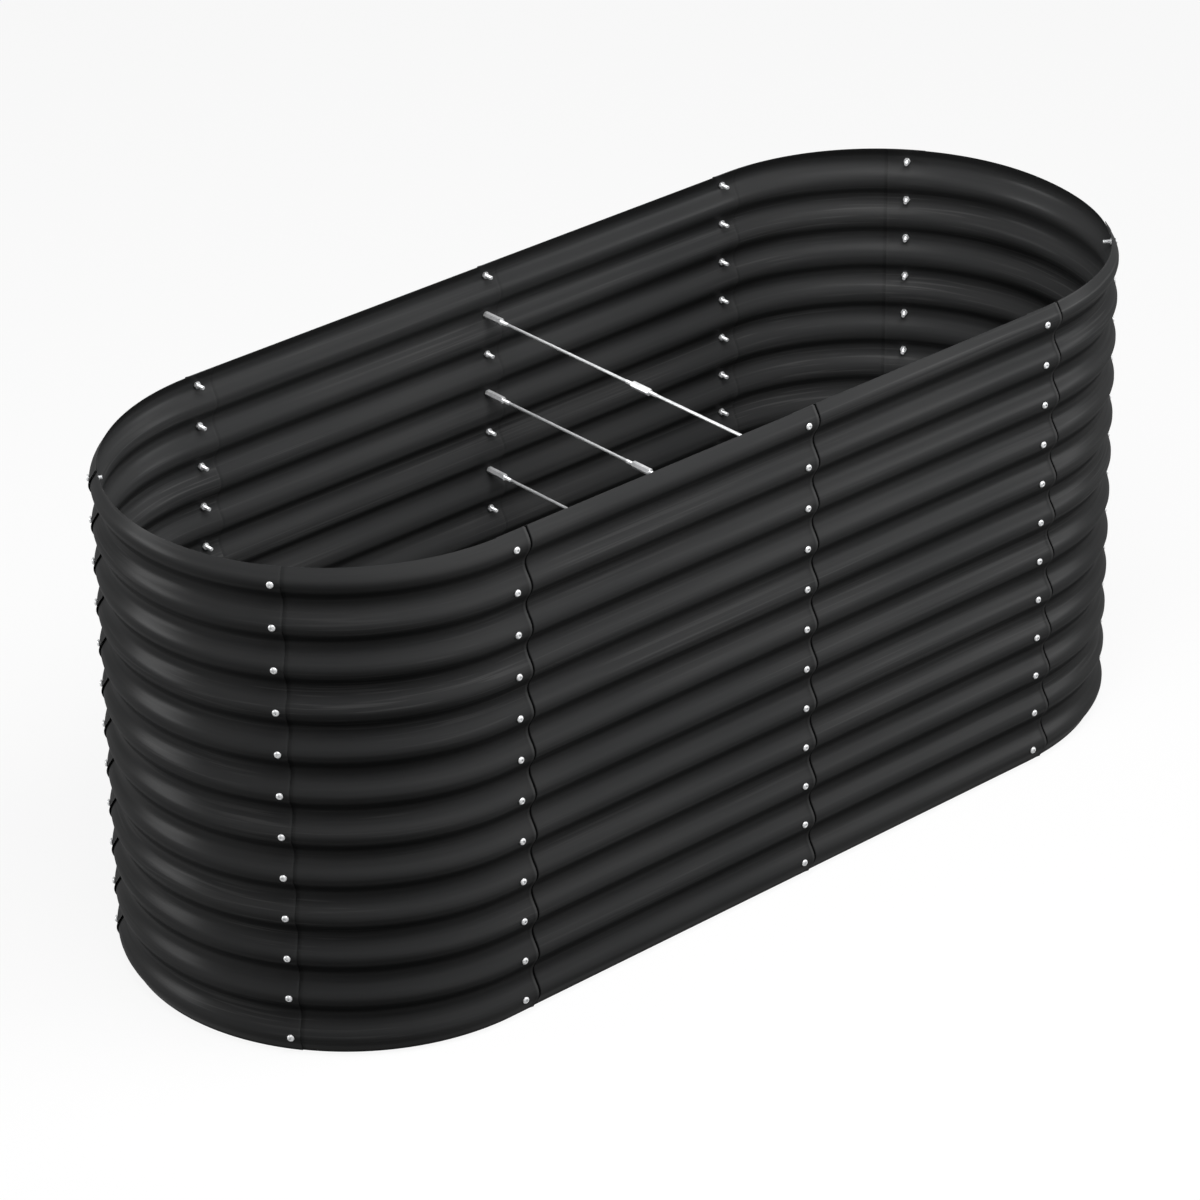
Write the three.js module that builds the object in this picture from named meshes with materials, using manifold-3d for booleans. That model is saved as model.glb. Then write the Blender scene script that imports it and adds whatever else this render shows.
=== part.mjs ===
// A tall raised garden bed of corrugated steel sheet: two straight sides of two panels each, two
// half-round ends of three panels each, bolted together at ten lapped seams, with three tie rods
// across the middle. There is no bottom. The front quarter of the right end is a little fuller than a
// true half-round.
//
// Frame: millimetres, +X along the length, +Y to the back, +Z up. The origin is at the centre of the
// bed's plan, on the ground. Anticlockwise from above, the panels are front, right end, back, left end.

import * as THREE from "three";
import Module from "manifold-3d";
import { mergeVertices } from "three/addons/utils/BufferGeometryUtils.js";

const wasm = await Module();
wasm.setup();

// ---- Driving dimensions ---------------------------------------------------------------------------

const SHEET = 0.8; // thickness of the painted steel
const GAP = 0.3; // air between two pieces that touch
const PITCH = 69; // height of one corrugation, and from bolt to bolt
const DEPTH = 14.5; // of the corrugation, crest to valley
const CRESTS = 12; // corrugations up the wall, one bolt each
const TOP_LIP = 24.3; // from the top crest up to the rim
const BOTTOM_LIP = 28.7; // from the bottom crest down to the ground
const END_RADIUS = 368.5; // of a half-round end, to the middle of the sheet at a crest
const STRAIGHT = 1113; // from one end's centre to the other's
const RIGHT_END_SWELL = 9.2; // how far the front quarter of the right end stands outside the half-round
const LAP = 26; // how far a sheet's edge lies past the bolts
const MIDDLE_LAP = 21; // the same at a middle seam
const RIGHT_LAP = 32; // at the front right seam and the right end's back seam
const LEFT_FRONT_LAP = 14; // at the left end's front seam
const FRONT_LEFT_SEAM = -538.5; // along X, and the same on the back
const MIDDLE_SEAM = 39.5;
const RIGHT_SEAM = 552.5;
const RIGHT_FRONT_SEAM = 53; // degrees round the right end from its front tangent
const RIGHT_BACK_SEAM = 128.3;
const LEFT_BACK_SEAM = 51.5; // degrees round the left end from its back tangent
const LEFT_FRONT_SEAM = 124.7;
const ARC_STEP = 12.5; // degrees, the widest facet of a curved panel
const LEAST_FACET = 0.5; // two bends closer than this are one

const BOLT_LENGTH = 20; // under the head
const THREAD_RADIUS = 3;
const HEAD_RADIUS = 5.5;
const HEAD_HEIGHT = 3.3;
const HEAD_SKIRT = 1.3; // upright edge of the head, under its rounded top
const HEAD_TOP_RADIUS = 3.3;
const NUT_ACROSS_FLATS = 10;
const NUT_HEIGHT = 5;
const COUPLING_LENGTH = 40;
const ROD_END_GAP = 5; // left between two threaded ends inside a coupling
const TIE_ROWS = [2, 4, 6]; // bolt rows, counted from the top
const ROUND_SIDES = 12;

// ---- Worked out from them -------------------------------------------------------------------------

const TOP_CREST = BOTTOM_LIP + (CRESTS - 1) * PITCH;
const HEIGHT = TOP_CREST + TOP_LIP;
const FLAT = PITCH / 6; // upright stretch at each crest and valley
const SLOPE = Math.atan2(DEPTH, PITCH / 2 - FLAT);
const LAP_SHIFT = (SHEET + GAP) / Math.cos(SLOPE); // radial distance between two lapped sheets
const END_CENTRE = STRAIGHT / 2;
const HALF_TURN = Math.PI * END_RADIUS;
const PERIMETER = 2 * STRAIGHT + 2 * HALF_TURN;
const HOLE_RADIUS = THREAD_RADIUS + GAP / Math.cos(Math.PI / ROUND_SIDES);
const HEX_RADIUS = NUT_ACROSS_FLATS / 2 / Math.cos(Math.PI / 6);
const rowHeight = (row) => TOP_CREST - (row - 1) * PITCH;

// ---- Places along the wall ------------------------------------------------------------------------
// A place is a length along the crest line, anticlockwise from the front left tangent.

const onFront = (x) => x + END_CENTRE;
const onRightEnd = (degrees) => STRAIGHT + END_RADIUS * THREE.MathUtils.degToRad(degrees);
const onBack = (x) => STRAIGHT + HALF_TURN + END_CENTRE - x;
const onLeftEnd = (degrees) => 2 * STRAIGHT + HALF_TURN + END_RADIUS * THREE.MathUtils.degToRad(degrees);

// The places a curved or straight panel bends at, and where the ends reach farthest out.
const TANGENTS = [0, STRAIGHT, STRAIGHT + HALF_TURN, 2 * STRAIGHT + HALF_TURN];
const END_MIDDLES = [onRightEnd(90), onLeftEnd(90)];

// The wall's direction at a place: the centre it is measured from along X, and its outward angle.
function station(place) {
  let along = ((place % PERIMETER) + PERIMETER) % PERIMETER;
  if (along <= STRAIGHT) return { x: along - END_CENTRE, angle: -Math.PI / 2 };
  along -= STRAIGHT;
  if (along <= HALF_TURN) return { x: END_CENTRE, angle: along / END_RADIUS - Math.PI / 2 };
  along -= HALF_TURN;
  if (along <= STRAIGHT) return { x: END_CENTRE - along, angle: Math.PI / 2 };
  along -= STRAIGHT;
  return { x: -END_CENTRE, angle: along / END_RADIUS + Math.PI / 2 };
}

const isOnArc = (place) => {
  const along = ((place % PERIMETER) + PERIMETER) % PERIMETER;
  return (along > STRAIGHT && along < STRAIGHT + HALF_TURN) || along > 2 * STRAIGHT + HALF_TURN;
};

// How far the wall stands outside the straights and half-rounds: the square of the sine of twice the
// angle from the right end's front tangent, over its front quarter.
function swell(place) {
  const { x, angle } = station(place);
  const turn = angle + Math.PI / 2;
  return x === END_CENTRE && turn < Math.PI / 2 ? RIGHT_END_SWELL * Math.sin(2 * turn) ** 2 : 0;
}

// The seams in order. At a shingled seam the sheet that ends there lies outside the one that starts.
const SEAMS = [
  { name: "front_left", place: onFront(FRONT_LEFT_SEAM), lap: LAP, shingled: true },
  { name: "front_middle", place: onFront(MIDDLE_SEAM), lap: MIDDLE_LAP, shingled: true },
  { name: "front_right", place: onFront(RIGHT_SEAM), lap: RIGHT_LAP, shingled: true },
  { name: "right_end_front", place: onRightEnd(RIGHT_FRONT_SEAM), lap: LAP, shingled: true },
  { name: "right_end_back", place: onRightEnd(RIGHT_BACK_SEAM), lap: RIGHT_LAP, shingled: false },
  { name: "back_right", place: onBack(RIGHT_SEAM), lap: LAP, shingled: true },
  { name: "back_middle", place: onBack(MIDDLE_SEAM), lap: MIDDLE_LAP, shingled: true },
  { name: "back_left", place: onBack(FRONT_LEFT_SEAM), lap: LAP, shingled: true },
  { name: "left_end_back", place: onLeftEnd(LEFT_BACK_SEAM), lap: LAP, shingled: true },
  { name: "left_end_front", place: onLeftEnd(LEFT_FRONT_SEAM), lap: LEFT_FRONT_LAP, shingled: true },
];
const PANELS = [
  "straight_panel_front_left",
  "straight_panel_front_right",
  "curved_panel_right_front",
  "curved_panel_right_middle",
  "curved_panel_right_back",
  "straight_panel_back_right",
  "straight_panel_back_left",
  "curved_panel_left_back",
  "curved_panel_left_middle",
  "curved_panel_left_front",
];
const TIE_SEAMS = SEAMS.filter((seam) => seam.name.endsWith("_middle"));

// ---- Materials ------------------------------------------------------------------------------------

const PAINT = { color: 0x242526, roughness: 0.5, metalness: 0.2 };
const ZINC = { color: 0xc9cbcd, roughness: 0.3, metalness: 0.9 };

const bed = new THREE.Group();
bed.name = "raised_garden_bed";

function addPiece(name, geometry, look) {
  const mesh = new THREE.Mesh(geometry, new THREE.MeshStandardMaterial(look));
  mesh.name = name;
  bed.add(mesh);
  return mesh;
}

// ---- Solids ---------------------------------------------------------------------------------------

function solidOf(geometry) {
  const bare = geometry.index ? geometry.toNonIndexed() : geometry.clone();
  bare.deleteAttribute("normal");
  bare.deleteAttribute("uv");
  const merged = mergeVertices(bare, 1e-4);
  return new wasm.Manifold(
    new wasm.Mesh({
      numProp: 3,
      vertProperties: new Float32Array(merged.attributes.position.array),
      triVerts: new Uint32Array(merged.index.array),
    }),
  );
}

function geometryOf(solid) {
  const mesh = solid.getMesh();
  const geometry = new THREE.BufferGeometry();
  geometry.setAttribute("position", new THREE.BufferAttribute(new Float32Array(mesh.vertProperties), 3));
  geometry.setIndex(new THREE.BufferAttribute(new Uint32Array(mesh.triVerts), 1));
  return geometry;
}

// A closed solid from triangles and corner points.
function meshOf(points, triangles) {
  const geometry = new THREE.BufferGeometry();
  geometry.setAttribute("position", new THREE.Float32BufferAttribute(points.flat(), 3));
  geometry.setIndex(triangles.flat());
  return geometry;
}

// A solid turned about +Z from [radius, z] points listed from its low pole to its high one.
function turned(profile) {
  const points = [[0, 0, profile[0][1]]];
  const triangles = [];
  const corner = (ring, side) => 1 + ring * ROUND_SIDES + (side % ROUND_SIDES);
  for (const [radius, z] of profile)
    for (let side = 0; side < ROUND_SIDES; side += 1) {
      const angle = (2 * Math.PI * side) / ROUND_SIDES;
      points.push([radius * Math.cos(angle), radius * Math.sin(angle), z]);
    }
  const topPole = points.push([0, 0, profile.at(-1)[1]]) - 1;
  for (let side = 0; side < ROUND_SIDES; side += 1) {
    triangles.push([0, corner(0, side + 1), corner(0, side)]);
    triangles.push([topPole, corner(profile.length - 1, side), corner(profile.length - 1, side + 1)]);
    for (let ring = 0; ring + 1 < profile.length; ring += 1) {
      triangles.push([corner(ring, side), corner(ring, side + 1), corner(ring + 1, side + 1)]);
      triangles.push([corner(ring, side), corner(ring + 1, side + 1), corner(ring + 1, side)]);
    }
  }
  return meshOf(points, triangles);
}

// A hexagonal nut along +Z from z = 0, with a round hole through it.
function hexNut(height) {
  const outline = new THREE.Shape();
  for (let side = 0; side < 6; side += 1) {
    const angle = (Math.PI / 3) * side + Math.PI / 6;
    const corner = [HEX_RADIUS * Math.cos(angle), HEX_RADIUS * Math.sin(angle)];
    if (side === 0) outline.moveTo(...corner);
    else outline.lineTo(...corner);
  }
  outline.closePath();
  const hole = new THREE.Path();
  hole.absarc(0, 0, HOLE_RADIUS, 0, 2 * Math.PI, true);
  outline.holes.push(hole);
  return new THREE.ExtrudeGeometry(outline, {
    depth: height,
    bevelEnabled: false,
    curveSegments: ROUND_SIDES / 2,
  });
}

// ---- Corrugated sheet -----------------------------------------------------------------------------

// The wall's middle line as [distance out from the crest, height], from the rim to the ground. A crest
// and a valley are each a short upright stretch, joined by straight slopes.
function wallLine() {
  const line = [[-Math.tan(SLOPE) * (TOP_LIP - FLAT / 2), HEIGHT]];
  for (let crest = 0; crest < CRESTS; crest += 1) {
    const z = TOP_CREST - crest * PITCH;
    line.push([0, z + FLAT / 2], [0, z - FLAT / 2]);
    if (crest < CRESTS - 1)
      line.push([-DEPTH, z - PITCH / 2 + FLAT / 2], [-DEPTH, z - PITCH / 2 - FLAT / 2]);
  }
  line.push([-Math.tan(SLOPE) * (BOTTOM_LIP - FLAT / 2), 0]);
  return line;
}

// The same line moved out by a distance square to the sheet; its two ends stay at their heights.
function skinLine(line, distance) {
  const moved = [];
  const normals = line.slice(1).map(([out, z], index) => {
    const [fromOut, fromZ] = line[index];
    const length = Math.hypot(out - fromOut, z - fromZ);
    return [(fromZ - z) / length, (out - fromOut) / length];
  });
  line.forEach(([out, z], index) => {
    const before = normals[Math.max(index - 1, 0)];
    const after = normals[Math.min(index, normals.length - 1)];
    if (index === 0 || index === line.length - 1) {
      moved.push([out + distance / after[0], z]);
      return;
    }
    const scale = distance / (1 + before[0] * after[0] + before[1] * after[1]);
    moved.push([out + (before[0] + after[0]) * scale, z + (before[1] + after[1]) * scale]);
  });
  return moved;
}

const lapEdges = (seam) => [seam.place - seam.lap, seam.place + seam.lap];

// Where a panel bends or changes its distance out, from its start edge to its end edge.
function panelPlaces(first, last) {
  const [start, startLapEnd] = lapEdges(first);
  const [endLapStart, end] = lapEdges(last);
  const turn = last.place < first.place ? PERIMETER : 0;
  const fixed = [start, startLapEnd, endLapStart + turn, end + turn];
  for (const place of [...TANGENTS, ...END_MIDDLES])
    for (const lapped of [place, place + PERIMETER])
      if (lapped > start && lapped < end + turn) fixed.push(lapped);
  fixed.sort((a, b) => a - b);
  const kept = fixed.filter((place, index) => index === 0 || place - fixed[index - 1] > LEAST_FACET);
  const places = [kept[0]];
  for (const place of kept.slice(1)) {
    const from = places.at(-1);
    const inLap = place <= startLapEnd || from >= endLapStart + turn;
    const degrees = THREE.MathUtils.radToDeg((place - from) / END_RADIUS);
    const facets = isOnArc((from + place) / 2) && !inLap ? Math.ceil(degrees / ARC_STEP) : 1;
    for (let facet = 1; facet <= facets; facet += 1) places.push(from + ((place - from) * facet) / facets);
  }
  return { places, startLapEnd, endLapStart: endLapStart + turn };
}

// One sheet: the wall's section carried along its places, shifted half a lap in or out at each end.
function panelSheet(first, last) {
  const { places, startLapEnd, endLapStart } = panelPlaces(first, last);
  const startShift = first.shingled ? -LAP_SHIFT / 2 : LAP_SHIFT / 2;
  const endShift = last.shingled ? LAP_SHIFT / 2 : -LAP_SHIFT / 2;
  const line = wallLine();
  const section = [...skinLine(line, SHEET / 2), ...skinLine(line, -SHEET / 2).reverse()];
  const points = [];
  for (const place of places) {
    const through = THREE.MathUtils.clamp((place - startLapEnd) / (endLapStart - startLapEnd), 0, 1);
    const shift = startShift + (endShift - startShift) * through;
    const { x, angle } = station(place);
    for (const [out, z] of section) {
      const radius = END_RADIUS + swell(place) + out + shift;
      points.push([x + radius * Math.cos(angle), radius * Math.sin(angle), z]);
    }
  }
  const ring = section.length;
  const triangles = [];
  for (let step = 0; step + 1 < places.length; step += 1)
    for (let index = 0; index < ring; index += 1) {
      const next = (index + 1) % ring;
      const [a, b] = [step * ring + index, step * ring + next];
      triangles.push([a, b, b + ring], [a, b + ring, a + ring]);
    }
  const lastRing = (places.length - 1) * ring;
  for (let index = 0; index + 1 < line.length; index += 1) {
    const [outer, inner] = [index, ring - 1 - index];
    triangles.push([outer, inner, inner - 1], [outer, inner - 1, outer + 1]);
    const [farOuter, farInner] = [lastRing + outer, lastRing + inner];
    triangles.push([farOuter, farOuter + 1, farInner - 1], [farOuter, farInner - 1, farInner]);
  }
  return meshOf(points, triangles);
}

// ---- Fasteners ------------------------------------------------------------------------------------

// How far out the flat of a crest lies at a seam, for a point this far out on the wall's crest line.
// On a half-round the lap is one flat facet between its two edges.
function crestFace(seam, radius) {
  if (!isOnArc(seam.place)) return radius;
  const [before, after] = lapEdges(seam).map(swell);
  return (radius + (before + after) / 2) * Math.cos(seam.lap / END_RADIUS);
}

const outsideOf = (seam) => crestFace(seam, END_RADIUS + LAP_SHIFT / 2) + SHEET / 2 + GAP;
const insideOf = (seam) => crestFace(seam, END_RADIUS - LAP_SHIFT / 2) - SHEET / 2 - GAP;

// Stands a piece made along +Z on the wall, pointing outwards, with its z = 0 at the radius.
function placeAt(target, seam, radius, z) {
  const { x, angle } = station(seam.place);
  target.rotation.set(0, Math.PI / 2, angle, "ZYX");
  target.position.set(x + radius * Math.cos(angle), radius * Math.sin(angle), z);
  target.updateMatrix();
  return target;
}

function bolt() {
  return turned([
    [THREAD_RADIUS, -BOLT_LENGTH],
    [THREAD_RADIUS, 0],
    [HEAD_RADIUS, 0],
    [HEAD_RADIUS, HEAD_SKIRT],
    [HEAD_TOP_RADIUS, HEAD_HEIGHT],
  ]);
}

// A punch that leaves a bolt's hole in both sheets.
function holeCutter(seam, z) {
  const cutter = turned([
    [HOLE_RADIUS, -DEPTH],
    [HOLE_RADIUS, DEPTH],
  ]);
  const wall = END_RADIUS + swell(seam.place);
  return cutter.applyMatrix4(placeAt(new THREE.Object3D(), seam, wall, z).matrix);
}

// ---- The bed --------------------------------------------------------------------------------------

// Rows whose fasteners are pieces of this part: the top one on every seam, and each tie row.
const rowsOf = (seam) => (TIE_SEAMS.includes(seam) ? [1, ...TIE_ROWS] : [1]);

function addPanels() {
  PANELS.forEach((name, index) => {
    const first = SEAMS[index];
    const last = SEAMS[(index + 1) % SEAMS.length];
    let sheet = solidOf(panelSheet(first, last));
    for (const seam of [first, last])
      for (const row of rowsOf(seam)) sheet = sheet.subtract(solidOf(holeCutter(seam, rowHeight(row))));
    addPiece(name, geometryOf(sheet), PAINT);
  });
}

function addSeamFasteners() {
  for (const seam of SEAMS)
    for (const row of rowsOf(seam)) {
      const kind = row === 1 ? "seam_bolt" : "tie_bolt";
      const place = row === 1 ? seam.name : `${seam.name}_row_${row}`;
      placeAt(addPiece(`${kind}_${place}`, bolt(), ZINC), seam, outsideOf(seam), rowHeight(row));
      if (row > 1) continue;
      const nut = addPiece(`seam_nut_${place}`, hexNut(NUT_HEIGHT), ZINC);
      placeAt(nut, seam, insideOf(seam) - NUT_HEIGHT, rowHeight(row));
    }
}

function addTieRods() {
  const seat = Math.min(...TIE_SEAMS.map(insideOf));
  const boltEnd = Math.min(...TIE_SEAMS.map(outsideOf)) - BOLT_LENGTH;
  const rodStart = ROD_END_GAP / 2;
  const rodLength = boltEnd - ROD_END_GAP - rodStart;
  for (const row of TIE_ROWS) {
    const z = rowHeight(row);
    for (const seam of TIE_SEAMS) {
      const side = seam.name.split("_")[0];
      const coupling = addPiece(`wall_coupling_${side}_row_${row}`, hexNut(COUPLING_LENGTH), ZINC);
      placeAt(coupling, seam, seat - COUPLING_LENGTH, z);
      const rod = turned([
        [THREAD_RADIUS, 0],
        [THREAD_RADIUS, rodLength],
      ]);
      placeAt(addPiece(`tie_rod_${side}_row_${row}`, rod, ZINC), seam, rodStart, z);
    }
    const centre = addPiece(`centre_coupling_row_${row}`, hexNut(COUPLING_LENGTH), ZINC);
    placeAt(centre, TIE_SEAMS[0], -COUPLING_LENGTH / 2, z);
  }
}

addPanels();
addSeamFasteners();
addTieRods();

export default bed;
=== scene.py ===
"""A tall raised garden bed of charcoal corrugated sheet, bolted at ten lapped seams, with tie rods.

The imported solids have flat-crested waves and only the top bolt of each seam. Here every panel gets its
smooth wave, every crest its bolt and nut, and the hardware its threads, chamfers and zinc finish.

Metres, +X along the length, +Y to the back, +Z up. A place on the wall is a length along the crest line,
anticlockwise from above, counted from the front left end of the straight side.
"""
import math

import bpy
import numpy as np
from mathutils import Matrix, Vector


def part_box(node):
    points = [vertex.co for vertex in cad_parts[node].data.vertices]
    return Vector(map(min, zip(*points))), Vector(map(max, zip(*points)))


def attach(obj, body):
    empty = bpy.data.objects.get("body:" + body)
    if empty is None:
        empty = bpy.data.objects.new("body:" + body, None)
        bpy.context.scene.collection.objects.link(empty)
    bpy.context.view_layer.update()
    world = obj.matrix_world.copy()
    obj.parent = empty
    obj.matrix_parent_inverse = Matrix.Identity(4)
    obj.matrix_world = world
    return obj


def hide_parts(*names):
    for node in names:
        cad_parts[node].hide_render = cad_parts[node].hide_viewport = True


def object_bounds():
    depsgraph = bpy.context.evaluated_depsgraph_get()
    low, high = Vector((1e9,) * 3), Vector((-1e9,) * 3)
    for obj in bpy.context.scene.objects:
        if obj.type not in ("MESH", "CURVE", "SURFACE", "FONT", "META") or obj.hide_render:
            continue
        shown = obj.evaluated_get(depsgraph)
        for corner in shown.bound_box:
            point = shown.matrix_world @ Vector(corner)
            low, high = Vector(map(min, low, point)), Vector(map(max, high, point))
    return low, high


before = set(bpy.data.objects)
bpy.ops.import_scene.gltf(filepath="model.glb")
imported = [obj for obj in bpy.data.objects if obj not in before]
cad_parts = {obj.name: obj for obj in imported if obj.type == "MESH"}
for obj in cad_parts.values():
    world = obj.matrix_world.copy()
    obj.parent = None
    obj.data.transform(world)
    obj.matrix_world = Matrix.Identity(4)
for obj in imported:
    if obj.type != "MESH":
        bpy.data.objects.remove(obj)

CAD_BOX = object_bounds()


# ---- Sizes ----------------------------------------------------------------------------------------

SHEET = 0.0008  # thickness of the painted steel
GAP = 0.0003  # air between two pieces that touch
DEPTH = 0.0145  # of the corrugation, crest to valley
END_RADIUS = 0.3685  # of a half-round end, to the middle of the sheet at a crest
STRAIGHT = 1.113  # from one end's centre to the other's
RIGHT_END_SWELL = 0.0092  # how far the right end's front quarter stands outside the half-round
LAP = 0.026  # how far a sheet's edge lies past the bolts
MIDDLE_LAP = 0.021
RIGHT_LAP = 0.032
LEFT_FRONT_LAP = 0.014
LAP_SHIFT = 0.0013  # radial distance between two lapped sheets
SPRING_OUT = 0.0014  # how far a lap's outer edge stands off
SPRING_IN = 0.0006  # and the edge inside it
SPRING_REACH = 0.009  # how far from the edge that begins
CRESTS = 12  # up the wall, one bolt each

THREAD_RADIUS = 0.003
THREAD_PITCH = 0.001
THREAD_DEPTH = 0.00045
TIP_RADIUS = 0.00234  # where a thread's chamfer meets its flat end
BOLT_LENGTH = 0.020  # under the head
PLAIN_NECK = 0.004  # of a bolt, between head and thread
HEAD_PROFILE = (  # distance from the axis, and height above the seat, over the rounded top
    (0.0053, 0.0000), (0.0055, 0.0003), (0.0054, 0.0012), (0.0049, 0.0021),
    (0.0041, 0.0028), (0.0031, 0.0032), (0.0026, 0.0033),
)
SOCKET_FLAT = 0.0020  # from the axis to a flat of the hexagon socket
SOCKET_RIM = 0.0031  # height of its upper edge
SOCKET_FLOOR = 0.0014
NUT_FLATS = 0.010  # across flats, and the couplings too
NUT_HEIGHT = 0.005
NUT_BORE = 0.00306
NUT_CHAMFER = 0.0007  # height of the chamfer at a corner of the hexagon
NUT_COUNTERSINK = 0.0006
COUPLING_LENGTH = 0.040
THREADED_END = 0.032  # of a tie rod
TIE_ROWS = (2, 4, 6)  # bolt rows, counted from the top

HALF_TURN = math.pi * END_RADIUS
PERIMETER = 2 * STRAIGHT + 2 * HALF_TURN
HEIGHT = CAD_BOX[1].z
TOP_CREST = sum(corner.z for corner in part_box("seam_bolt_front_middle")) / 2
PITCH = (TOP_CREST - sum(corner.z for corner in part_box("tie_bolt_front_middle_row_4")) / 2) / 3

SEAMS = (
    "front_left", "front_middle", "front_right", "right_end_front", "right_end_back",
    "back_right", "back_middle", "back_left", "left_end_back", "left_end_front",
)
PANELS = (
    "straight_panel_front_left", "straight_panel_front_right",
    "curved_panel_right_front", "curved_panel_right_middle", "curved_panel_right_back",
    "straight_panel_back_right", "straight_panel_back_left",
    "curved_panel_left_back", "curved_panel_left_middle", "curved_panel_left_front",
)
FOLLOWING_OUTSIDE = {"right_end_back"}  # at every other seam the sheet that ends there lies outside
TIGHT_SEAMS = {"left_end_front", "right_end_back"}
TIGHT_LAP = 0.15  # how much of an open lap's spring, and of the painted shade and painted highlight at its edge, a tight one shows
LAPS = dict.fromkeys(SEAMS, LAP) | {
    "front_middle": MIDDLE_LAP, "back_middle": MIDDLE_LAP, "front_right": RIGHT_LAP,
    "right_end_back": RIGHT_LAP, "left_end_front": LEFT_FRONT_LAP,
}

WAVE_STEPS = 16  # rows of faces to one corrugation
ARC_STEP = math.radians(1.5)  # the widest face of a curved sheet
EDGE_STEPS = 8  # columns over which an edge springs off
SIDES = 18  # of a round piece of hardware
SHEET_CREASE = 50  # degrees, above which an edge stays crisp
HARDWARE_CREASE = 35


# ---- Places along the wall ------------------------------------------------------------------------

def wall_frame(place):
    """Centre along X, and outward angle, of the wall at each place.

    Along the straight sides the centre moves and the angle holds; round an end the centre holds and the
    angle grows by arc length over radius.
    """
    along = np.mod(place, PERIMETER)
    front = np.clip(along, 0, STRAIGHT)
    right = np.clip(along - STRAIGHT, 0, HALF_TURN)
    back = np.clip(along - STRAIGHT - HALF_TURN, 0, STRAIGHT)
    left = np.clip(along - 2 * STRAIGHT - HALF_TURN, 0, HALF_TURN)
    return front - back - STRAIGHT / 2, (right + left) / END_RADIUS - math.pi / 2


def swell(place):
    """How much fuller the wall is than its half-round: over the right end's front quarter, the square of
    the sine of twice the angle from the front tangent."""
    turn = (np.mod(place, PERIMETER) - STRAIGHT) / END_RADIUS
    return np.where((turn > 0) & (turn < math.pi / 2), RIGHT_END_SWELL * np.sin(2 * turn) ** 2, 0.0)


def wall_points(place, out, z):
    """Points at a distance out from the crest line: the centre, plus radius + swell + out along the
    angle."""
    centre, angle = wall_frame(place)
    radius = END_RADIUS + swell(place) + out
    x = centre + radius * np.cos(angle)
    y = radius * np.sin(angle)
    return np.stack(np.broadcast_arrays(x, y, z), axis=-1)


def place_of(node):
    """The place on the wall that a packed fastener stands at, from the middle of its box."""
    low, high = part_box(node)
    x, y = (low.x + high.x) / 2, (low.y + high.y) / 2
    side = math.copysign(1, y)
    if abs(x) < STRAIGHT / 2:
        return x + STRAIGHT / 2 if side < 0 else STRAIGHT + HALF_TURN + STRAIGHT / 2 - x
    if x > 0:
        return STRAIGHT + END_RADIUS * (math.atan2(y, x - STRAIGHT / 2) + math.pi / 2)
    turned = math.atan2(-y, -(x + STRAIGHT / 2))
    return 2 * STRAIGHT + HALF_TURN + END_RADIUS * (turned + math.pi / 2)


SEAM_PLACES = {seam: place_of(f"seam_bolt_{seam}") for seam in SEAMS}


# ---- Meshes ---------------------------------------------------------------------------------------

def make_piece(name, points, faces, material, maps=None):
    """A mesh object at the origin from arrays of points and of faces with four corners each, with a UV
    map for each named array of two numbers a point."""
    mesh = bpy.data.meshes.new(name)
    mesh.from_pydata(points.reshape(-1, 3).tolist(), [], faces.tolist())
    mesh.validate(clean_customdata=False)
    mesh.polygons.foreach_set("use_smooth", np.full(len(mesh.polygons), True))
    corners = np.empty(len(mesh.loops), dtype=np.int64)
    mesh.loops.foreach_get("vertex_index", corners)
    for title, numbers in (maps or {}).items():
        mesh.uv_layers.new(name=title).data.foreach_set("uv", numbers.reshape(-1, 2)[corners].ravel())
    mesh.materials.append(material)
    piece = bpy.data.objects.new(name, mesh)
    bpy.context.collection.objects.link(piece)
    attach(piece, "root")
    return piece


def grid_faces(index, close_rows=False, close_columns=False):
    """Four-cornered faces between neighbours of a grid of point numbers, closed round where asked."""
    if close_rows:
        index = np.concatenate([index, index[:1]], axis=0)
    if close_columns:
        index = np.concatenate([index, index[:, :1]], axis=1)
    a, b = index[:-1, :-1], index[:-1, 1:]
    c, d = index[1:, 1:], index[1:, :-1]
    return np.stack([a, b, c, d], axis=-1).reshape(-1, 4)


def mark_sharp(piece, degrees):
    """Edges that turn more than the angle stay crisp under smooth shading."""
    piece.data.set_sharp_from_angle(angle=math.radians(degrees))


# ---- Corrugated sheet -----------------------------------------------------------------------------

def wave_out(z):
    """How far out from the crest line the middle of the sheet lies: minus half the depth times
    (1 - cosine of the turns from the top crest)."""
    return -DEPTH / 2 * (1 - np.cos(2 * math.pi * (z - TOP_CREST) / PITCH))


def sheet_places(start, end):
    """Grid columns along a panel: one every small arc step, and closer ones where the edges spring."""
    near = SPRING_REACH * np.linspace(0, 1, EDGE_STEPS) ** 1.5
    count = max(int(round((end - start - 2 * SPRING_REACH) / (END_RADIUS * ARC_STEP))), 8)
    middle = np.linspace(start + SPRING_REACH, end - SPRING_REACH, count + 1)
    return np.concatenate([start + near[:-1], middle, end - near[-2::-1]])


def spring(seam, from_edge, outside):
    """How far an edge stands off its lap: most at the edge, falling as the square of what is left of the
    reach."""
    left = np.clip(1 - from_edge / SPRING_REACH, 0, 1)
    openness = TIGHT_LAP if seam in TIGHT_SEAMS else 1
    return (SPRING_OUT * openness if outside else -SPRING_IN) * left**2


# The lap map places the painted shade beyond each lap's edge and the painted highlight on its rim.
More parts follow.
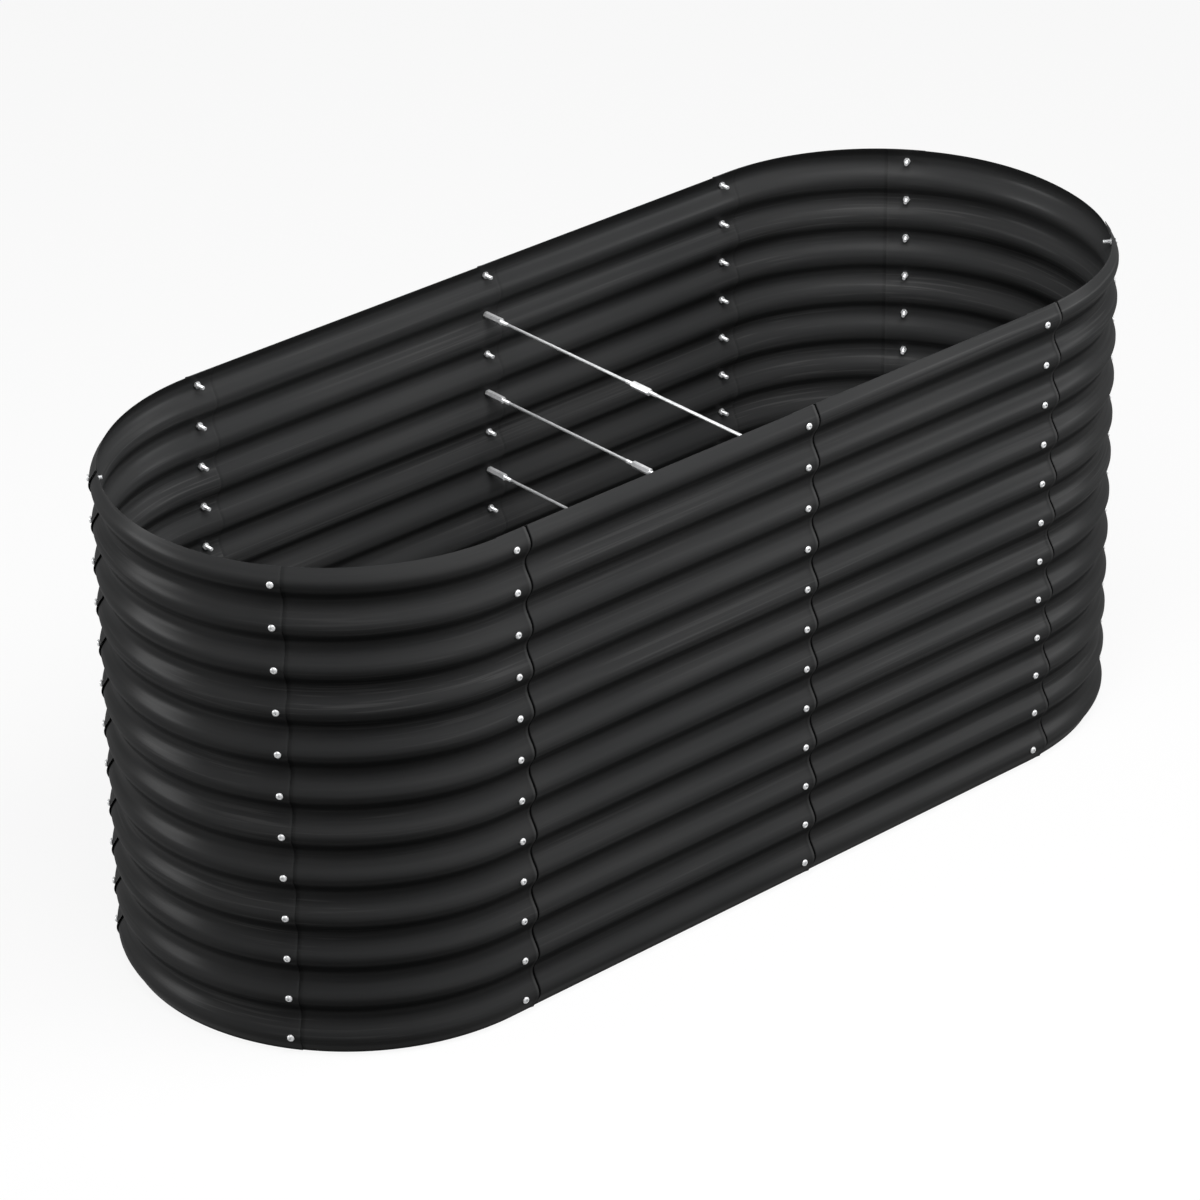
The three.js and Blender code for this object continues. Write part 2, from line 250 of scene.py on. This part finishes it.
def lap_map(place, first, last, rows):
    """How far each place lies past the nearest edge that shows, and how open that lap is.

    Outside, the edge that shows is the outer sheet's, and inside it is the inner one's. Distances count
    from the edge, away from the bolts; laps stand open outside only, and least where they are tight.
    """
    nearest_first = place < (first[1] + last[1]) / 2
    skins = []
    for outside in (True, False):
        past = []
        for seam, at in (first, last):
            before = (seam in FOLLOWING_OUTSIDE) == outside
            past.append(at - LAPS[seam] - place if before else place - at - LAPS[seam])
        tight = [seam in TIGHT_SEAMS or not outside for seam, _ in (first, last)]
        openness = np.where(np.where(nearest_first, *tight), TIGHT_LAP, 1)
        skins.append([np.where(nearest_first, *past), openness])
    return np.repeat(np.stack(skins).transpose(2, 0, 1), rows, axis=1)


def make_panel(name, first, last, material):
    """One sheet, as two skins over (place, height).

    Each skin is the wave moved half a thickness along its own normal. The sheet lies half a lap in or
    out at each seam, so its distance out slides evenly from one lap to the next, and its two edges
    spring off the laps.
    """
    start, end = SEAM_PLACES[first], SEAM_PLACES[last]
    if end < start:
        end += PERIMETER
    starts_outside = first in FOLLOWING_OUTSIDE
    ends_outside = last not in FOLLOWING_OUTSIDE
    start_shift = (1 if starts_outside else -1) * LAP_SHIFT / 2
    end_shift = (1 if ends_outside else -1) * LAP_SHIFT / 2
    place = sheet_places(start - LAPS[first], end + LAPS[last])
    plain_start, plain_end = start + LAPS[first], end - LAPS[last]
    through = np.clip((place - plain_start) / (plain_end - plain_start), 0, 1)
    shift = start_shift + (end_shift - start_shift) * through
    shift += spring(first, place - place[0], starts_outside)
    shift += spring(last, place[-1] - place, ends_outside)
    z = np.linspace(HEIGHT, 0, int(round(HEIGHT / PITCH * WAVE_STEPS)) + 1)
    lean = DEPTH * math.pi / PITCH * np.sin(2 * math.pi * (z - TOP_CREST) / PITCH)
    square = np.sqrt(1 + lean**2)
    skins = []
    for side in (0.5, -0.5):
        out = wave_out(z) + side * SHEET / square
        height = np.clip(z + side * SHEET * lean / square, 0, HEIGHT)
        skins.append(wall_points(place[:, None], out[None, :] + shift[:, None], height[None, :]))
    section = np.concatenate([skins[0], skins[1][:, ::-1]], axis=1)
    points = np.arange(section.shape[0] * section.shape[1]).reshape(section.shape[:2])
    faces = [grid_faces(points.T, close_rows=True)]
    half = len(z)
    for column, order in ((0, 1), (-1, -1)):
        outer, inner = points[column, :half], points[column, half:][::-1]
        strip = np.stack([outer, inner], axis=0)[::order]
        faces.append(grid_faces(strip))
    turned = np.concatenate(faces)[:, ::-1]
    heights = np.concatenate([z, z[::-1]])
    maps = {
        "sheet": np.stack(np.broadcast_arrays(place[:, None], heights[None, :]), axis=-1),
        "lap": lap_map(place, (first, start), (last, end), half),
    }
    piece = make_piece(name.replace("_panel", "_sheet"), section, turned, material, maps)
    mark_sharp(piece, SHEET_CREASE)
    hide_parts(name)


# ---- Hardware -------------------------------------------------------------------------------------
# Each shape is made along +Z, as points on a grid of (ring, side), and then stood on the wall.

ANGLES = np.arange(SIDES) * 2 * math.pi / SIDES


def hexagon(angle):
    """Distance to a hexagon's side of unit distance: one over the cosine of the angle from its flat."""
    return 1 / np.cos(np.mod(angle, math.pi / 3) - math.pi / 6)


def rings(profile):
    """Points from (radius, z, is it a hexagon) rings: radius, times the hexagon where asked."""
    radius, z, six = (np.array(column, float) for column in zip(*profile))
    reach = radius[:, None] * (1 + six[:, None] * (hexagon(ANGLES)[None, :] - 1))
    height = np.repeat(z[:, None], SIDES, axis=1)
    return np.stack([reach * np.cos(ANGLES), reach * np.sin(ANGLES), height], axis=-1)


def closed_rings(points):
    """A grid of rings, closed round, whose last ring meets its first."""
    index = np.arange(points.shape[0] * SIDES).reshape(-1, SIDES)
    return points.reshape(-1, 3), grid_faces(index, close_rows=True, close_columns=True)


def drawn_in(ring):
    """A ring's copy, drawn almost to its centre."""
    return 0.98 * ring.mean(axis=1, keepdims=True) + 0.02 * ring


def capped_rings(points):
    """A grid of rings, closed round, with each end closed by a ring drawn in to its centre."""
    grid = np.concatenate([drawn_in(points[:1]), points, drawn_in(points[-1:])])
    index = np.arange(grid.shape[0] * SIDES).reshape(-1, SIDES)
    faces = grid_faces(index, close_columns=True)
    half = SIDES // 2
    ends = []
    for ring, order in ((index[0], -1), (index[-1], 1)):
        pairs = np.stack([ring[:half], ring[::-1][:half]], axis=0)
        ends.append(grid_faces(pairs)[:, ::order])
    return grid.reshape(-1, 3), np.concatenate([faces, *ends])


def thread_rings(start, end):
    """A screw thread between two heights: rings half a pitch apart that climb one pitch a turn.

    A point's height is its ring's plus its angle's share of a pitch, held between the ends; the radius
    goes from crest to root on every second ring.
    """
    turns = int(round((end - start) / THREAD_PITCH))
    ring = np.arange(2 * turns + 1)[:, None]
    climb = ANGLES[None, :] / (2 * math.pi)
    z = np.clip(start + THREAD_PITCH * (ring / 2 + climb - 0.5), start, end)
    root = THREAD_RADIUS - THREAD_DEPTH
    radius = np.where(ring % 2 == 0, root, THREAD_RADIUS) + 0 * climb
    return np.stack([radius * np.cos(ANGLES), radius * np.sin(ANGLES), z], axis=-1)


def bolt_shape():
    """A button head with a hexagon socket, on a threaded shank; z = 0 is under the head."""
    tip = rings([(TIP_RADIUS, -BOLT_LENGTH, 0)])
    shank = thread_rings(-BOLT_LENGTH, -PLAIN_NECK)
    neck = rings([(THREAD_RADIUS, -PLAIN_NECK, 0), (THREAD_RADIUS, 0, 0)])
    head = rings([(radius, z, 0) for radius, z in HEAD_PROFILE])
    socket = rings([(SOCKET_FLAT, SOCKET_RIM, 1), (SOCKET_FLAT, SOCKET_FLOOR, 1)])
    return capped_rings(np.concatenate([tip, shank, neck, head, socket]))


def nut_shape(height):
    """A hexagon nut from z = 0: chamfered at both faces, with a countersunk hole."""
    flat = NUT_FLATS / 2
    face = flat * 0.97
    mouth = NUT_BORE + NUT_COUNTERSINK
    shoulder = NUT_CHAMFER * 0.45
    return closed_rings(rings([
        (NUT_BORE, height - NUT_COUNTERSINK, 0), (NUT_BORE, NUT_COUNTERSINK, 0),
        (mouth, 0, 0), (face, 0, 0), (flat, shoulder, 0), (flat, NUT_CHAMFER, 1),
        (flat, height - NUT_CHAMFER, 1), (flat, height - shoulder, 0),
        (face, height, 0), (mouth, height, 0),
    ]))


def rod_shape(length):
    """A plain rod from z = 0 with a thread at each end and a small chamfer at each tip."""
    low = [rings([(TIP_RADIUS, 0, 0)]), thread_rings(0, THREADED_END)]
    high = [thread_rings(length - THREADED_END, length), rings([(TIP_RADIUS, length, 0)])]
    return capped_rings(np.concatenate([*low, *high]))


def stand_on_wall(shape, place, radius, z):
    """Turns +Z of a shape to point straight out of the wall at a place and height."""
    points, faces = shape
    centre, angle = (float(value) for value in wall_frame(np.array(place)))
    outward = np.array([math.cos(angle), math.sin(angle), 0])
    along = np.array([-math.sin(angle), math.cos(angle), 0])
    up = np.array([0, 0, 1.0])
    origin = np.array([centre, 0, z]) + (radius + float(swell(place))) * outward
    turned = points[:, :1] * along + points[:, 1:2] * up + points[:, 2:] * outward
    return turned + origin, faces


def make_hardware(name, shapes, material, nodes):
    """One object from several shapes of hardware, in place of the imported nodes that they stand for."""
    offsets = np.cumsum([0] + [len(points) for points, _ in shapes[:-1]])
    points = np.concatenate([points for points, _ in shapes])
    faces = np.concatenate([faces + offset for (_, faces), offset in zip(shapes, offsets)])
    piece = make_piece(name, points, faces, material)
    mark_sharp(piece, HARDWARE_CREASE)
    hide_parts(*nodes)


def row_height(row):
    """The height of a bolt row, counted from the top."""
    return TOP_CREST - (row - 1) * PITCH


def packed_bolts(seam):
    """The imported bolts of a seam: its top one and, on a middle seam, those of the tie rows."""
    tied = [f"tie_bolt_{seam}_row_{row}" for row in TIE_ROWS] if seam.endswith("_middle") else []
    return [f"seam_bolt_{seam}", *tied]


HEAD_SEAT = END_RADIUS + LAP_SHIFT / 2 + SHEET / 2 + GAP  # distance out that a bolt's head rests at
NUT_SEAT = END_RADIUS - LAP_SHIFT / 2 - SHEET / 2 - GAP


def make_seam_hardware(seam, material):
    """A bolt on every crest of a seam, and a nut inside on each one that carries no tie."""
    place = SEAM_PLACES[seam]
    rows = range(1, CRESTS + 1)
    bolts = [stand_on_wall(bolt_shape(), place, HEAD_SEAT, row_height(row)) for row in rows]
    make_hardware(f"bolts_{seam}", bolts, material, packed_bolts(seam))
    nut_rows = [row for row in rows if not (seam.endswith("_middle") and row in TIE_ROWS)]
    nuts = [stand_on_wall(nut_shape(NUT_HEIGHT), place, NUT_SEAT - NUT_HEIGHT, row_height(row))
            for row in nut_rows]
    make_hardware(f"nuts_{seam}", nuts, material, [f"seam_nut_{seam}"])


def make_ties(material):
    """In each tie row a coupling on either wall, two half rods, and the coupling that joins them."""
    rod_low, rod_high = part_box("tie_rod_back_row_2")
    start, length = rod_low.y, rod_high.y - rod_low.y
    for row in TIE_ROWS:
        z = row_height(row)
        for side in ("front", "back"):
            place = SEAM_PLACES[f"{side}_middle"]
            coupling = stand_on_wall(nut_shape(COUPLING_LENGTH), place, NUT_SEAT - COUPLING_LENGTH, z)
            node = f"wall_coupling_{side}_row_{row}"
            make_hardware(f"{side}_coupling_nut_row_{row}", [coupling], material, [node])
            rod = stand_on_wall(rod_shape(length), place, start, z)
            make_hardware(f"{side}_rod_row_{row}", [rod], material, [f"tie_rod_{side}_row_{row}"])
        middle = stand_on_wall(
            nut_shape(COUPLING_LENGTH), SEAM_PLACES["front_middle"], -COUPLING_LENGTH / 2, z)
        node = f"centre_coupling_row_{row}"
        make_hardware(f"centre_coupling_nut_row_{row}", [middle], material, [node])


# ---- Finishes -------------------------------------------------------------------------------------

class Value:
    """A number or colour that flows through a finish; arithmetic on it adds the Math nodes."""

    def __init__(self, finish, socket):
        self.finish = finish
        self.socket = socket

    def maths(self, operation, *others):
        return self.finish.node("ShaderNodeMath", {"operation": operation}, dict(enumerate(others)))

    def __add__(self, other):
        return self.maths("ADD", self, other)

    def __sub__(self, other):
        return self.maths("SUBTRACT", self, other)

    def __rsub__(self, other):
        return self.maths("SUBTRACT", other, self)

    def __mul__(self, other):
        return self.maths("MULTIPLY", self, other)

    def __gt__(self, other):
        return self.maths("GREATER_THAN", self, other)

    __radd__ = __add__
    __rmul__ = __mul__


class Finish:
    """The nodes of a material, or of the world, under construction."""

    def __init__(self, holder):
        self.holder = holder
        holder.use_nodes = True
        self.tree = holder.node_tree
        self.tree.nodes.clear()

    def node(self, kind, settings=None, inputs=None, output=0):
        """Adds a node: its settings first, then a value or a link for each input named or numbered."""
        made = self.tree.nodes.new(kind)
        for name, value in (settings or {}).items():
            setattr(made, name, value)
        for name, value in (inputs or {}).items():
            if isinstance(value, Value):
                self.tree.links.new(value.socket, made.inputs[name])
            else:
                made.inputs[name].default_value = value
        return Value(self, made.outputs[output]) if made.outputs else None

    def noise(self, vector, scale, detail=2.0, roughness=0.5):
        return self.node("ShaderNodeTexNoise", None,
                         {"Vector": vector, "Scale": scale, "Detail": detail, "Roughness": roughness})

    def grain(self, sheet, along, up, detail=2.0, roughness=0.5):
        """Noise stretched over a sheet, with so many features to the metre along it and up it."""
        stretched = self.node("ShaderNodeMapping", None, {"Vector": sheet, "Scale": (along, up, 1.0)})
        return self.noise(stretched, 1.0, detail, roughness)

    def between(self, value, low, high):
        """Stretches a value so that low goes to 0 and high to 1, held inside."""
        return self.node("ShaderNodeMapRange", {"clamp": True},
                         {"Value": value, "From Min": low, "From Max": high})

    def mix_colour(self, factor, first, second):
        inputs = {0: factor, 6: first, 7: second}
        return self.node("ShaderNodeMix", {"data_type": "RGBA"}, inputs, output=2)

    def bump(self, height, distance, strength=1.0, normal=None):
        inputs = {"Height": height, "Distance": distance, "Strength": strength}
        if normal is not None:
            inputs["Normal"] = normal
        return self.node("ShaderNodeBump", None, inputs)

    def surface(self, **inputs):
        shader = self.node("ShaderNodeBsdfPrincipled", None,
                           {name.replace("_", " "): value for name, value in inputs.items()})
        self.node("ShaderNodeOutputMaterial", None, {"Surface": shader})
        return self.holder


def new_finish(name):
    """The finish of a new material."""
    return Finish(bpy.data.materials.new(name))


def grey(level, tint=(1, 1, 1)):
    """A linear grey, with a slight tint where one is given."""
    return (*(level * part for part in tint), 1)


CHARCOAL = grey(0.030, (0.98, 1.0, 1.02))
WORN_CHARCOAL = grey(0.042)
# Painted highlight: thin lighter lines along the waves that stand for the glints of the lamps.
PAINTED_HIGHLIGHT_LINE = grey(0.072)
# Painted highlight on the rim of a lap's outer edge, and painted shade in the corner beyond it, where
# the lap's shadow falls.
PAINTED_EDGE_HIGHLIGHT = grey(0.075)
PAINTED_GAP_SHADE = grey(0.0015)
ZINC = grey(0.82, (0.99, 1.0, 1.01))
DULL_ZINC = grey(0.66, (0.99, 1.0, 1.01))


def powder_coat(name, streaks, line_length):
    """Satin charcoal powder coat: a fine orange-peel skin, roll marks and thin painted highlight lines
    along the sheet, a painted highlight on the rim of each lap's edge, and a painted shade line in the
    corner beyond it.

    Streaks is how strong the roll marks and the painted highlight lines are, and line_length how long
    those lines are.
    """
    finish = new_finish(name)
    sheet = finish.node("ShaderNodeUVMap", {"uv_map": "sheet"})
    lap = finish.node("ShaderNodeUVMap", {"uv_map": "lap"})
    past, openness = (finish.node("ShaderNodeSeparateXYZ", None, {0: lap}, output) for output in (0, 1))
    body = finish.node("ShaderNodeTexCoord", output="Object")
    waver = finish.grain(sheet, 2.2, 5.0)
    roll = finish.grain(sheet, 1.6, 95.0, 3.0, 0.55)
    fine_roll = finish.grain(sheet, 3.5, 420.0)
    # Painted highlight lines: thin lighter streaks along the sheet, in patches.
    drawn = finish.between(finish.grain(sheet, 1 / line_length, 230.0), 0.55, 0.64)
    patches = finish.between(finish.grain(sheet, 1.7, 11.0), 0.46, 0.60)
    lines = drawn * patches
    cloud = finish.between(finish.noise(body, 3.2, 4.0), 0.35, 0.70)
    peel = finish.noise(body, 1100.0, 1.0)
    marks = finish.between(roll * 0.65 + waver * 0.35, 0.42, 0.62)
    beyond = past > 0.0
    # Painted highlight: a lighter strip over the last few millimetres of an open lap's outer edge.
    edge_highlight = finish.between(past, -0.0045, -0.0020) * (1 - beyond) * openness
    # Painted shade: a near-black, rougher strip without coat just beyond an open lap's edge, where its
    # shadow falls.
    gap_shade = finish.between(past, 0.0070, 0.0045) * beyond * openness
    colour = finish.mix_colour(cloud * 0.35 + marks * 0.25, CHARCOAL, WORN_CHARCOAL)
    # Painted highlight lines, stronger on the rolled ends.
    colour = finish.mix_colour(lines * (0.30 + 0.18 * streaks), colour, PAINTED_HIGHLIGHT_LINE)
    # The painted highlight and the painted shade at the laps' edges.
    colour = finish.mix_colour(edge_highlight * 0.6, colour, PAINTED_EDGE_HIGHLIGHT)
    colour = finish.mix_colour(gap_shade * 0.95, colour, PAINTED_GAP_SHADE)
    roughness = 0.36 + cloud * 0.05 + gap_shade * 0.4
    roughness += marks * (0.08 * streaks) + fine_roll * (0.05 * streaks)
    normal = finish.bump(peel, 0.00006, 0.35)
    normal = finish.bump(roll, 0.0016 * streaks, 0.25, normal)
    return finish.surface(Base_Color=colour, Roughness=roughness, Normal=normal, Specular_IOR_Level=0.0,
                          Coat_Weight=(0.10 + marks * 0.04) * (1 - gap_shade), Coat_Roughness=0.30)


def bright_zinc(name, spangle):
    """Bright zinc plate: a faint mottle in colour and gloss, with so many spangles to the metre."""
    finish = new_finish(name)
    body = finish.node("ShaderNodeTexCoord", output="Object")
    mottle = finish.between(finish.noise(body, spangle, 3.0), 0.35, 0.65)
    fine = finish.noise(body, spangle * 9, 2.0)
    colour = finish.mix_colour(mottle, ZINC, DULL_ZINC)
    roughness = 0.28 + mottle * 0.10 + fine * 0.06
    normal = finish.bump(fine, 0.00003, 0.4)
    return finish.surface(Base_Color=colour, Roughness=roughness, Normal=normal, Metallic=0.45)


# ---- Studio ---------------------------------------------------------------------------------------

VIEW_TURN = math.radians(-41.7)
VIEW_TILT = math.radians(28.39)
VIEW_ROLL = math.radians(-0.67)
VIEW_CENTRE = Vector((-0.0512, 0.0, 0.3814))
VIEW_DISTANCE = 8.033
SENSOR = 36.0  # millimetres
LENS = 154.23

LAMPS = {  # centre, target, width and height, and watts
    "overhead": ((-0.3, -1.2, 3.2), (0.0, 0.0, 0.5), (3.0, 1.6), 125),
    "right": ((5.9, -4.4, 2.0), (0.4, 0.0, 0.3), (3.2, 1.4), 150),
    "left_back": ((-5.6, 4.4, 2.0), (-0.6, 0.0, 0.3), (3.2, 1.4), 220),
}
SKY = 0.06  # strength of the light from all round
FLOOR_SIZE = 60
FLOOR_BOUNCE = 0.08  # how pale the floor is for the light that it throws back
FLOOR_SEEN = 0.95  # and how pale where its light and shadow are seen
FLOOR_WHITE = 0.90  # share of plain white in what is seen of it


def make_camera():
    """The photograph's view: a long lens, from the left front and above, a little off level."""
    back = Vector((math.sin(VIEW_TURN) * math.cos(VIEW_TILT),
                   -math.cos(VIEW_TURN) * math.cos(VIEW_TILT), math.sin(VIEW_TILT)))
    right = Vector((math.cos(VIEW_TURN), math.sin(VIEW_TURN), 0))
    up = back.cross(right)
    level_right = math.cos(VIEW_ROLL) * right + math.sin(VIEW_ROLL) * up
    level_up = math.cos(VIEW_ROLL) * up - math.sin(VIEW_ROLL) * right
    lens = bpy.data.cameras.new("camera")
    lens.sensor_width = SENSOR
    lens.lens = LENS
    lens.clip_end = 100
    camera = bpy.data.objects.new("camera", lens)
    turn = Matrix((level_right, level_up, back)).transposed()
    camera.matrix_world = Matrix.Translation(VIEW_CENTRE + back * VIEW_DISTANCE) @ turn.to_4x4()
    bpy.context.collection.objects.link(camera)
    bpy.context.scene.camera = camera


def make_lamp(name, centre, target, size, power):
    """A soft rectangular lamp that faces its target."""
    light = bpy.data.lights.new(name, "AREA")
    light.shape = "RECTANGLE"
    light.size, light.size_y = size
    light.energy = power
    lamp = bpy.data.objects.new(name, light)
    centre, target = Vector(centre), Vector(target)
    lamp.location = centre
    lamp.rotation_euler = (target - centre).to_track_quat("-Z", "Y").to_euler()
    bpy.context.collection.objects.link(lamp)


def seen_rays(finish):
    """One for the rays that show the background: the camera's, and those in a mirror or glass."""
    camera, glossy, through = (finish.node("ShaderNodeLightPath", output=ray)
                               for ray in ("Is Camera Ray", "Is Glossy Ray", "Is Transmission Ray"))
    return camera.maths("MAXIMUM", camera, glossy.maths("MAXIMUM", glossy, through))


def make_floor():
    """A wide pale floor that is seen nearly white, with the bed's soft shadow on it."""
    finish = new_finish("pale_floor")
    seen = seen_rays(finish)
    tone = finish.mix_colour(seen, grey(FLOOR_BOUNCE), grey(FLOOR_SEEN))
    shadowed = finish.node("ShaderNodeBsdfDiffuse", None, {"Color": tone})
    white = finish.node("ShaderNodeEmission", None, {"Color": grey(1.0), "Strength": 1.0})
    mixed = finish.node("ShaderNodeMixShader", None, {0: seen * FLOOR_WHITE, 1: shadowed, 2: white})
    finish.node("ShaderNodeOutputMaterial", None, {"Surface": mixed})
    bpy.ops.mesh.primitive_plane_add(size=FLOOR_SIZE, location=(0, 0, 0))
    floor = bpy.context.object
    floor.name = "floor"
    floor.data.materials.append(finish.holder)


def make_world():
    """A soft even sky for light, and plain white where it is seen."""
    world = bpy.data.worlds.new("studio")
    bpy.context.scene.world = world
    sky = Finish(world)
    soft = sky.node("ShaderNodeBackground", None, {"Color": (1, 1, 1, 1), "Strength": SKY})
    white = sky.node("ShaderNodeBackground", None, {"Color": (1, 1, 1, 1), "Strength": 1.0})
    mixed = sky.node("ShaderNodeMixShader", None, {0: seen_rays(sky), 1: soft, 2: white})
    sky.node("ShaderNodeOutputWorld", None, {"Surface": mixed})


def make_studio():
    make_camera()
    make_floor()
    make_world()
    for name, lamp in LAMPS.items():
        make_lamp(name, *lamp)
    bpy.context.scene.view_settings.view_transform = "Standard"


# ---- The bed --------------------------------------------------------------------------------------

def make_bed():
    flat_coat = powder_coat("charcoal_powder_coat", streaks=0.35, line_length=0.60)
    curved_coat = powder_coat("charcoal_powder_coat_rolled", streaks=1.0, line_length=0.20)
    bolts = bright_zinc("zinc_fasteners", spangle=160.0)
    rods = bright_zinc("zinc_rods", spangle=90.0)
    for index, name in enumerate(PANELS):
        coat = curved_coat if name.startswith("curved") else flat_coat
        make_panel(name, SEAMS[index], SEAMS[(index + 1) % len(SEAMS)], coat)
    for seam in SEAMS:
        make_seam_hardware(seam, bolts)
    make_ties(rods)


make_studio()
make_bed()
